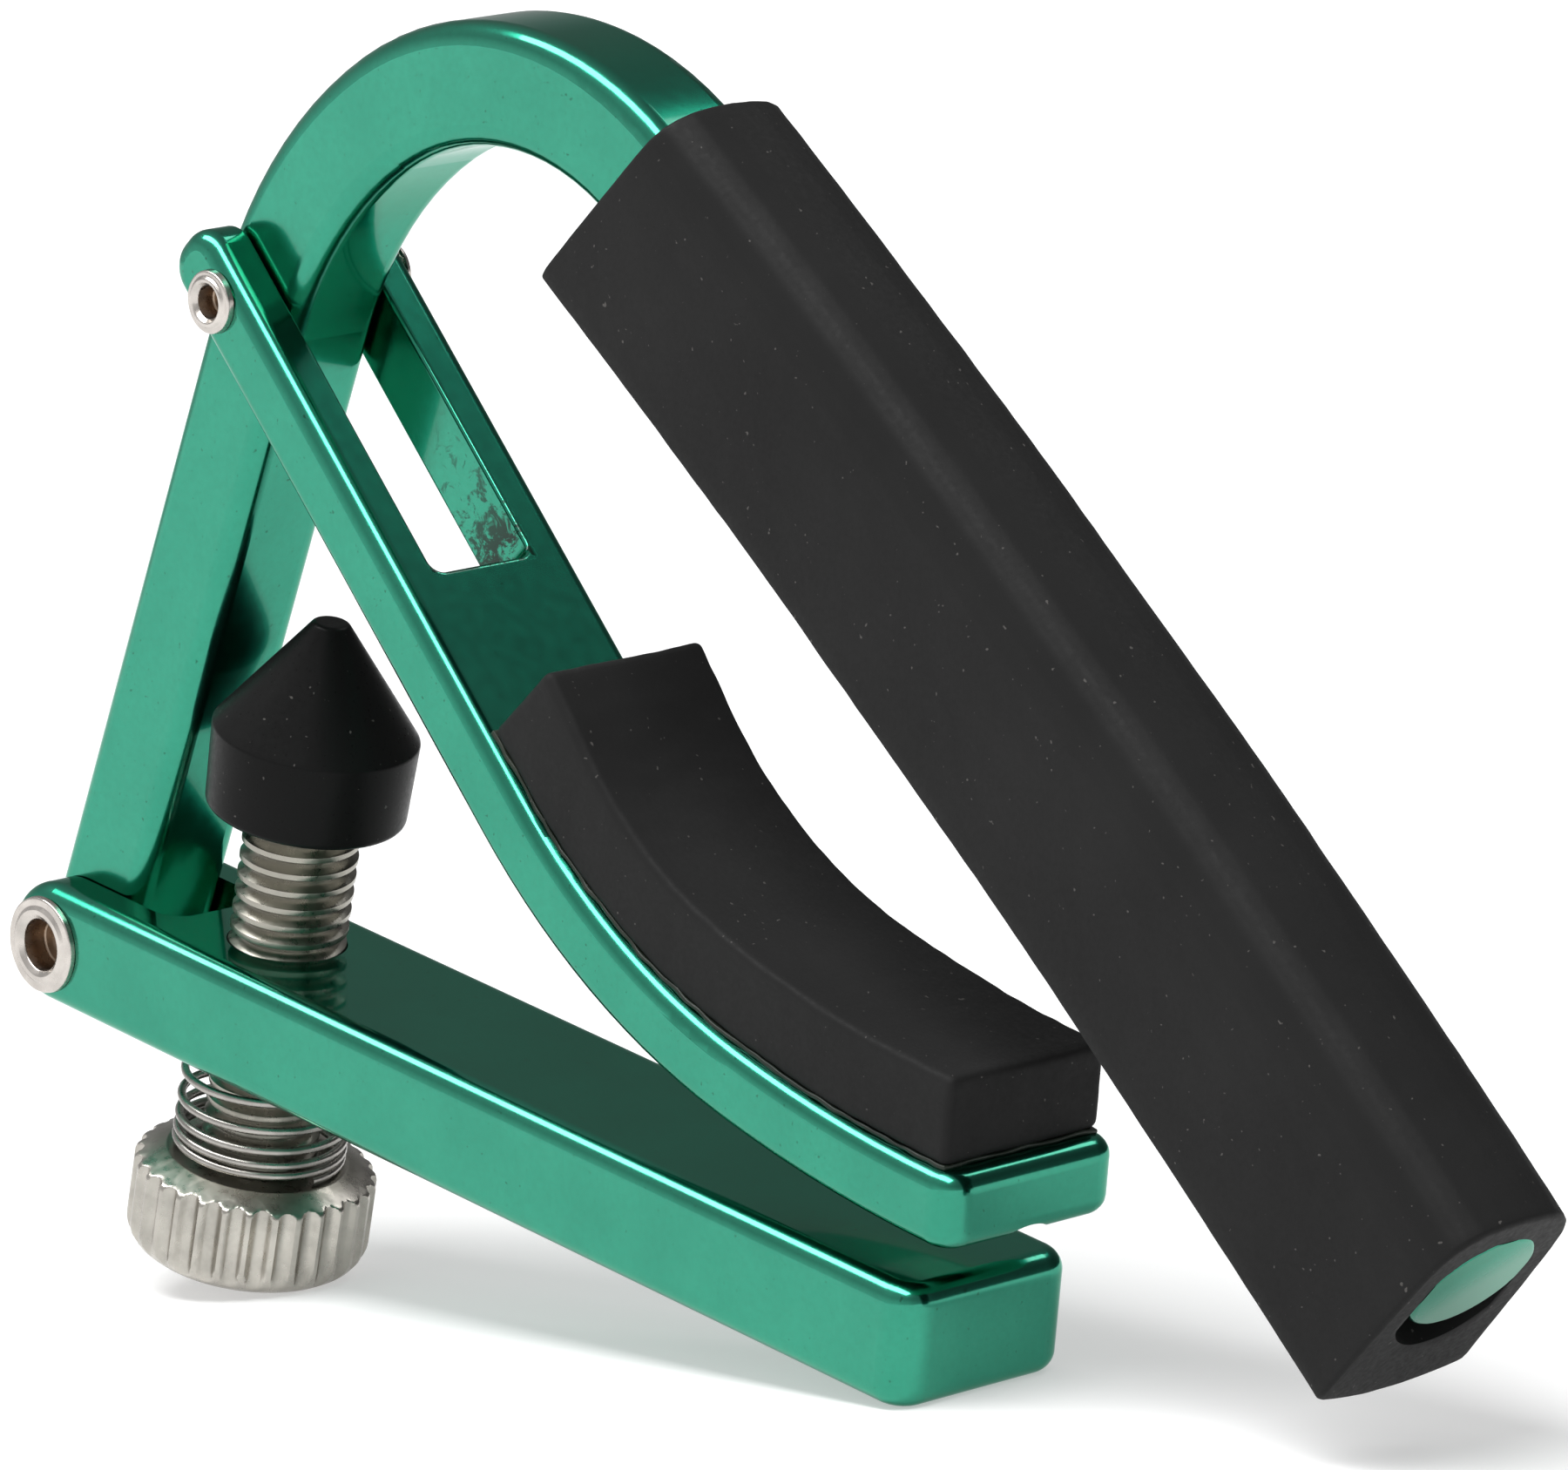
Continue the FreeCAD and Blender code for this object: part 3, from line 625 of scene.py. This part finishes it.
def nose_bore(angles, centre):
    """The bore's mouth: the bar's turned nose, stretched towards the string side."""
    flat = BAR_WIDTH / 2 + 0.02
    y, lift = centre
    reach = []
    for drop in np.linspace(0.0, MOUTH_SLACK, 4):
        rise = lift + SLEEVE_LIFT + drop
        along = -np.sin(angles) * rise
        circle = along + np.sqrt(along ** 2 - rise ** 2 + BAR_NOSE_RADIUS ** 2)
        side = flat / np.maximum(np.abs(np.cos(angles)), 1e-6)
        reach.append(np.minimum(circle, side))
    reach = np.max(reach, axis=0)
    return np.stack([y + reach * np.cos(angles), lift + reach * np.sin(angles)], -1)


def make_string_sleeve():
    """A tube with rounded rims, square-cut ends and a slack mouth round the bar's nose."""
    columns, span = 160, 190
    angles = np.linspace(0, 2 * math.pi, columns, endpoint=False)
    centre = np.array([0.0, -0.8])
    outer = ray_outline(sleeve_outline(), angles, centre)
    bore = nose_bore(angles, centre)
    far = FRAME_TRACK.at(FRAME_END)
    near = far - SLEEVE_LENGTH * unit(math.radians(sum(SLEEVE_ENDS) / 2))
    inwards = bore - outer
    inwards /= np.linalg.norm(inwards, axis=1)[:, None]

    # sections from the outside of an end to its bore, each with its depth below the cut
    rounding = [
        (outer + inwards * SLEEVE_RIM * (1 - math.cos(a)), SLEEVE_RIM * (1 - math.sin(a)))
        for a in np.linspace(0, math.pi / 2, 6)
    ]
    face = [(outer + (bore - outer) * share, 0.0) for share in (0.2, 0.4, 0.6, 0.8, 0.97)]
    end = rounding + face + [(bore, depth) for depth in (0.03, 0.5, 4.0)]

    near_cut = partial(end_cut, heading=SLEEVE_ENDS[0], anchor=near)
    far_cut = partial(end_cut, heading=SLEEVE_ENDS[1], anchor=far)
    rings = [(section, near_cut(section) + depth) for section, depth in reversed(end)]
    first = near_cut(outer) + SLEEVE_RIM
    last = far_cut(outer) - SLEEVE_RIM
    rings += [(outer, first + (last - first) * k / span) for k in range(1, span)]
    rings += [(section, far_cut(section) - depth) for section, depth in end]

    points = laid_along(
        SLEEVE_TRACK, [row for ring in rings for row in np.column_stack([ring[1], ring[0]])]
    )
    points = rough(points, scale=1.1, amount=0.018, seed=3.0)
    points = rough(points, scale=9.0, amount=0.05, seed=5.0)
    faces = grid_faces(len(rings), columns)
    made = piece("string_sleeve_rubber", from_layout(points), faces, SLEEVE_RUBBER)
    belongs(made, "frame", "string_sleeve")
    return made


# ---- neck pad and its glue ---------------------------------------------------------------

def block_grid(size, cells, radius):
    """A closed box surface with rounded edges, its lines gathered where it is rounded."""
    lines = []
    for length, count in zip(size, cells):
        inner = np.linspace(radius, length - radius, count + 1)
        bend = radius * (1 - np.cos(np.linspace(0, math.pi / 2, 6)))[:-1]
        lines.append(np.concatenate([bend, inner, length - bend[::-1]]))
    index = {}
    points = []
    faces = []

    def vertex(key):
        if key not in index:
            index[key] = len(points)
            points.append([lines[axis][key[axis]] for axis in range(3)])
        return index[key]

    for axis in range(3):
        u, v = (axis + 1) % 3, (axis + 2) % 3
        for side in (0, len(lines[axis]) - 1):
            for i in range(len(lines[u]) - 1):
                for j in range(len(lines[v]) - 1):
                    quad = []
                    for di, dj in ((0, 0), (1, 0), (1, 1), (0, 1)):
                        key = [0, 0, 0]
                        key[axis], key[u], key[v] = side, i + di, j + dj
                        quad.append(vertex(tuple(key)))
                    faces.append(quad if side else quad[::-1])
    points = np.array(points, float)
    inside = np.clip(points, radius, np.array(size) - radius)
    spoke = points - inside
    length = np.linalg.norm(spoke, axis=1, keepdims=True)
    points = inside + spoke * radius / np.maximum(length, 1e-9)
    return points, faces


def pad_top(s):
    """Height of the pad's top over the arm's middle: it eases down to an even height."""
    if s >= PAD_LEVEL_AT:
        return PAD_TOP
    share = (PAD_LEVEL_AT - s) / (PAD_LEVEL_AT - PAD_START)
    return PAD_TOP + (PAD_TOP_START - PAD_TOP) * share ** 2


def make_neck_pad():
    """The rubber block, curved along the arm and slightly uneven."""
    length = PAD_END - PAD_START
    foot = ARM_THICK / 2 + GLUE_THICK
    tall = PAD_TOP - foot
    points, faces = block_grid((length, PAD_WIDTH, tall), (120, 28, 12), 0.38)
    placed = []
    for s, y, h in points:
        along = PAD_START + s
        height = foot + (pad_top(along) - foot) * (h / tall)
        placed.append((ARM_EAR + along, y - PAD_WIDTH / 2, height))
    placed = rough(laid_along(ARM_TRACK, placed), scale=0.9, amount=0.03, seed=1.0)
    placed = rough(placed, scale=5.0, amount=0.06, seed=8.0)
    made = piece("neck_pad_rubber", from_layout(placed), faces, PAD_RUBBER)
    belongs(made, "arm", "neck_pad")
    return made


def make_pad_glue():
    """The glue film, whose uneven edge shows as a thin bead under the pad."""
    length = PAD_END - PAD_START
    width = PAD_WIDTH - 0.1
    points, faces = block_grid((length, width, GLUE_BEAD), (160, 24, 1), 0.09)
    start = np.array([ARM_EAR + PAD_START, -width / 2, ARM_THICK / 2 - 0.02])
    placed = rough(laid_along(ARM_TRACK, points + start), scale=0.9, amount=0.10, seed=2.0)
    made = piece("pad_glue_bead", from_layout(placed), faces, GLUE)
    return belongs(made, "arm", "pad_adhesive")


# ---- rivets ------------------------------------------------------------------------------

def make_rivet(name, spec, grip, pivot, body, node):
    """A semi-tubular rivet: a rolled ring round a blind hollow, an oval head on the far side."""
    shank, hollow, head, height, depth = spec
    half = grip / 2
    top = half + height
    floor = top - depth
    width = head - hollow
    corners = [
        (0.01, floor - 0.10), (0.55 * hollow, floor - 0.02, 0.4), (hollow - 0.06, floor, 0.12),
        (hollow - 0.03, top - 0.45 * height, 0.12), (hollow + 0.22 * width, top, 0.10),
        (hollow + 0.42 * width, top, 0.08), (hollow + 0.60 * width, top - 0.30 * height, 0.10),
        (head - 0.04, top - 0.28 * height, 0.10), (head, half + 0.02), (shank, half + 0.02),
        (shank, -half - 0.02), (head, -half - 0.02), (head - 0.02, -half - 0.40 * height, 0.10),
        (0.6 * head, -half - 0.97 * height, 0.8), (0.01, -half - height),
    ]
    rings = lathe(resampled(softened(corners), 0.10), 96)
    rings = rough(rings, scale=0.8, amount=0.012, seed=head)
    made = piece(name, across(pivot)(rings), capped(rings.shape[0], 96), RIVET_STEEL, 50)
    return belongs(made, body, node)


# ---- thumbscrew, spring and pressure tip -------------------------------------------------

def fluted(radius, height, angles):
    """Cuts the knob's grip flutes into a turned profile, some deeper than others."""
    wide, reach = 0.42, KNOB_RADIUS + 0.10
    step = 2 * math.pi / FLUTES
    index = np.floor(np.mod(angles + step / 2, 2 * math.pi) / step)
    reach = reach - 0.05 * np.sin(2.4 * index) - 0.04 * np.sin(5.3 * index + 1.0)
    off = (np.mod(angles + step / 2, step) - step / 2) * KNOB_RADIUS
    cut = reach - np.sqrt(np.maximum(wide ** 2 - off ** 2, 0.0))
    cut = np.where(np.abs(off) < wide, cut, KNOB_RADIUS + 1.0)
    return np.minimum(radius, cut)


def make_knob():
    """The fluted head, with a shoulder for the spring and a shallow recess underneath."""
    base = KNOB_TOP - KNOB_HEIGHT
    recess, depth = KNOB_RECESS
    seat_radius, seat_height = KNOB_SHOULDER
    corners = [
        (0.02, base + depth), (recess, base + depth), (recess + 0.15, base, 0.08),
        (KNOB_RADIUS, base, KNOB_FOOT_ROUND), (KNOB_RADIUS, KNOB_TOP, 0.35),
        (seat_radius, KNOB_TOP + seat_height, 0.25), (2.2, KNOB_TOP + seat_height),
    ]
    profile = resampled(softened(corners), 0.16)
    columns = FLUTES * 14
    rings = lathe(profile, columns, fluted)
    return rings.reshape(-1, 3), capped(rings.shape[0], columns)


def thread_profile(share):
    """Depth below the crest over one pitch: rounded root, narrow rounded crest."""
    wave = 0.5 + 0.5 * math.cos(2 * math.pi * share)
    return THREAD_DEPTH * (1 - min(1.0, 1.18 * wave ** 0.85))


def make_rod():
    """The rod with a true helical thread, cut off square at both ends."""
    columns, profile = 72, 14
    low, high = KNOB_TOP + KNOB_SHOULDER[1] - 0.4, ROD_END
    turns = math.ceil((high - low) / THREAD_PITCH) + 1
    points = []
    for k in range((turns + 1) * columns):
        angle = 2 * math.pi * k / columns
        for m in range(profile):
            z = low + THREAD_PITCH * (k / columns + m / profile - 1)
            radius = THREAD_RADIUS - thread_profile(m / profile)
            beyond = max(low - z, z - high, 0.0)
            chamfer = ROD_CHAMFER * (1 - min(1.0, (high - z) / ROD_CHAMFER))
            radius = max(min(radius, THREAD_RADIUS - chamfer) - 4 * beyond, 0.0)
            z = min(max(z, low), high)
            points.append((radius * math.cos(angle), radius * math.sin(angle), z))
    faces = []
    total = (turns + 1) * columns
    for k in range(total - 1):
        for m in range(profile):
            a, b = k * profile + m, (k + 1) * profile + m
            if m < profile - 1:
                faces.append((a, b, b + 1, a + 1))
            elif k + 1 + columns < total:
                c, d = (k + columns) * profile, (k + 1 + columns) * profile
                faces.append((a, b, d, c))
    return np.array(points), faces


def make_thumbscrew():
    """Head and rod, joined as one piece."""
    knob, knob_faces = make_knob()
    rod, rod_faces = make_rod()
    faces = list(knob_faces) + [tuple(i + len(knob) for i in f) for f in rod_faces]
    points = from_screw(np.concatenate([knob, rod]))
    made = piece("thumbscrew_fluted", points, faces, SCREW_STEEL, 35)
    return belongs(made, "screw", "thumbscrew")


def make_spring():
    """An open coil, its turns closer together at the knob."""
    foot = KNOB_TOP + KNOB_SHOULDER[1] + SPRING_WIRE + 0.05
    top = -LEVER_THICK / 2 - SPRING_RADIUS * math.tan(math.radians(SCREW_TILT)) - 0.24
    steps = 48
    count = int(SPRING_TURNS * steps) + 1
    share = np.linspace(0, 1, count)
    climb = 0.5 * share + 0.5 * share ** 3
    angle = 2 * math.pi * SPRING_TURNS * share
    line = np.stack([
        SPRING_RADIUS * np.cos(angle), SPRING_RADIUS * np.sin(angle), foot + (top - foot) * climb
    ], -1)
    along = np.gradient(line, axis=0)
    along /= np.linalg.norm(along, axis=1)[:, None]
    out = np.stack([np.cos(angle), np.sin(angle), 0 * angle], -1)
    side = np.cross(along, out)
    around = np.linspace(0, 2 * math.pi, 12, endpoint=False)
    rings = line[:, None] + SPRING_WIRE * (
        np.cos(around)[None, :, None] * out[:, None] + np.sin(around)[None, :, None] * side[:, None]
    )
    made = piece("spring_wire", from_screw(rings), capped(count, 12), SPRING_STEEL, 60)
    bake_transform(made)
    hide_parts("screw_spring")
    return made


def make_pressure_tip():
    """The cone-shaped cap, open underneath round the rod."""
    base, shoulder, top = CAP_RADII
    corners = [
        (CAP_BORE, CAP_BASE + 4.0), (CAP_BORE, CAP_BASE, 0.12), (base, CAP_BASE, 0.32),
        (shoulder, CAP_SHOULDER, 0.22), (top, CAP_TOP, 0.32), (0.02, CAP_TOP),
    ]
    columns = 128
    rings = lathe(resampled(softened(corners), 0.25), columns)
    faces = grid_faces(rings.shape[0], columns)
    last = (rings.shape[0] - 1) * columns
    faces.append(tuple(range(last, last + columns)))
    made = piece("pressure_tip_cap", from_screw(rings), faces, CAP_PLASTIC)
    return belongs(made, "tip", "pressure_tip")


make_string_sleeve()
make_neck_pad()
make_pad_glue()
make_rivet("lever_rivet_ring", LEVER_RIVET, LEVER_WIDTH, LEVER_PIVOT, "lever", "lever_rivet")
make_rivet("arm_rivet_ring", ARM_RIVET, ARM_WIDTH, ARM_PIVOT, "arm", "arm_rivet")
make_thumbscrew()
make_spring()
make_pressure_tip()


# ---- studio ------------------------------------------------------------------------------

SKY = ((0.0, 1.0), (0.20, 0.85), (0.45, 0.60), (0.70, 0.75), (1.0, 0.80))
SKY_LEVEL = 0.55
SKY_FRONT = (-0.154, -0.465, 0.0)

FLOOR_REACH = 4.0
FLOOR_TONES = (grey(0.60), grey(0.63))
FLOOR_GLOW = (0.25, 0.90, 0.42, 0.90)   # from one distance to another, the strength at each

# name, azimuth, elevation, distance, width and height, power
LIGHTS = (
    ("key", -5, 70, 0.9, (1.2, 0.32), 11.5),
    ("back", 172, 49, 1.0, (0.30, 0.30), 0.8),
)

CAMERA_LENS = 232.03
CAMERA_SENSOR = 36.0
CAMERA_PLACE = Vector((0.3385, -0.2634, 0.0694))     # from the lever's pivot
CAMERA_RIGHT = Vector((0.67201, 0.73639, -0.07823))
CAMERA_UP = Vector((-0.05642, 0.15624, 0.98610))
CAMERA_BACK = Vector((0.73838, -0.65827, 0.14654))


def make_floor():
    """Pale paper that glows more strongly away from the capo."""
    m = Nodes("studio_paper")
    tone = m.mix(m.spread(m.noise(60.0, 2.0), 0.3, 0.7), *FLOOR_TONES)
    away = m.add("ShaderNodeVectorMath", {"operation": "LENGTH"})
    m.put(away.inputs[0], m.place)
    glow = m.spread(away.outputs["Value"], *FLOOR_GLOW)
    material = m.finish(
        Base_Color=tone, Roughness=0.8, Emission_Color=grey(1.0), Emission_Strength=glow
    )
    r = FLOOR_REACH
    corners = [(-r, -r, 0), (r, -r, 0), (r, r, 0), (-r, r, 0)]
    floor = piece("studio_floor", corners, [(0, 1, 2, 3)], material)


def make_world():
    """A studio that is bright in front and darker behind and overhead."""
    world = bpy.data.worlds.new("studio")
    bpy.context.scene.world = world
    world.use_nodes = True
    tree = world.node_tree
    place = tree.nodes.new("ShaderNodeTexCoord").outputs["Generated"]
    split = tree.nodes.new("ShaderNodeSeparateXYZ")
    tree.links.new(place, split.inputs[0])
    ramp = tree.nodes.new("ShaderNodeValToRGB")
    tree.links.new(split.outputs["Z"], ramp.inputs[0])
    while len(ramp.color_ramp.elements) < len(SKY):
        ramp.color_ramp.elements.new(0.5)
    for element, (position, value) in zip(ramp.color_ramp.elements, SKY):
        element.position = position
        element.color = grey(value)
    facing = tree.nodes.new("ShaderNodeVectorMath")
    facing.operation = "DOT_PRODUCT"
    facing.inputs[1].default_value = SKY_FRONT
    tree.links.new(place, facing.inputs[0])
    level = tree.nodes.new("ShaderNodeMath")
    level.operation = "ADD"
    level.inputs[1].default_value = SKY_LEVEL
    tree.links.new(facing.outputs["Value"], level.inputs[0])
    background = tree.nodes["Background"]
    tree.links.new(ramp.outputs[0], background.inputs["Color"])
    tree.links.new(level.outputs[0], background.inputs["Strength"])


def softbox(name, azimuth, elevation, distance, size, power):
    """A rectangular area light aimed at the capo; azimuth 0 stands at -Y and 90 at +X."""
    a, e = math.radians(azimuth), math.radians(elevation)
    away = Vector((math.sin(a) * math.cos(e), -math.cos(a) * math.cos(e), math.sin(e)))
    light = bpy.data.lights.new(name, "AREA")
    light.shape = "RECTANGLE"
    light.size, light.size_y = size
    light.energy = power
    lamp = bpy.data.objects.new(name, light)
    middle = (cad_box[0] + cad_box[1]) / 2
    lamp.location = middle + away * distance
    lamp.rotation_mode = "QUATERNION"
    lamp.rotation_quaternion = (-away).to_track_quat("-Z", "Y")
    bpy.context.scene.collection.objects.link(lamp)


def make_camera():
    """A long lens a little above the capo, turned towards its near side and string end."""
    data = bpy.data.cameras.new("camera")
    data.lens = CAMERA_LENS
    data.sensor_width = CAMERA_SENSOR
    data.clip_start, data.clip_end = 0.02, 20.0
    camera = bpy.data.objects.new("camera", data)
    turn = Matrix((CAMERA_RIGHT, CAMERA_UP, CAMERA_BACK)).transposed().to_4x4()
    camera.matrix_world = Matrix.Translation(Vector(LEVER_PIVOT) + CAMERA_PLACE) @ turn
    bpy.context.scene.collection.objects.link(camera)
    bpy.context.scene.camera = camera


make_floor()
make_world()
for spec in LIGHTS:
    softbox(*spec)
make_camera()
bpy.context.scene.view_settings.view_transform = "Standard"
